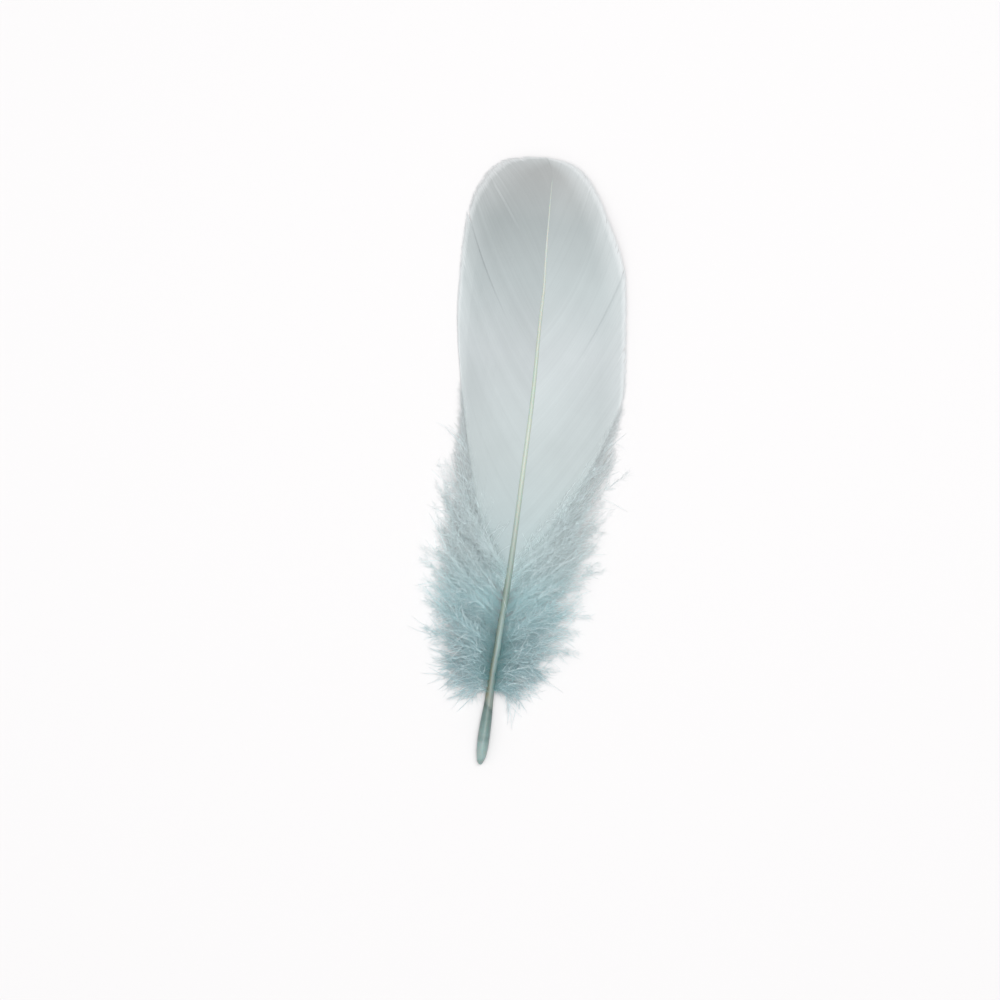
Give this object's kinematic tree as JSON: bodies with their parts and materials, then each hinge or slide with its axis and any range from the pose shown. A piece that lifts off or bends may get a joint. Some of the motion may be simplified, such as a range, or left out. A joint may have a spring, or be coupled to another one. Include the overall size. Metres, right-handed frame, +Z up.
{
  "type": "goose feather",
  "caption": "Curved body feather with a bare hollow quill, a tapering shaft, broad soft vanes that end in a round tip, and loose down at their foot; it lies on its hollow side.",
  "frame": {"origin": "on the surface that the feather lies on, under the middle of its outline seen from above", "axes": "+Y from the quill towards the tip, +Z up out of the feather's rounded back, +X towards the wider vane"},
  "size_m": [0.0532, 0.1648, 0.0114],
  "materials": {
    "vane": "soft silky barbs, dyed pale aqua grey",
    "quill": "smooth satin horn, cream along the shaft and teal green at the quill",
    "down": "loose fluffy down, dyed aqua"
  },
  "bodies": {
    "root": {"feather": "vane"}
  },
  "joints": []
}
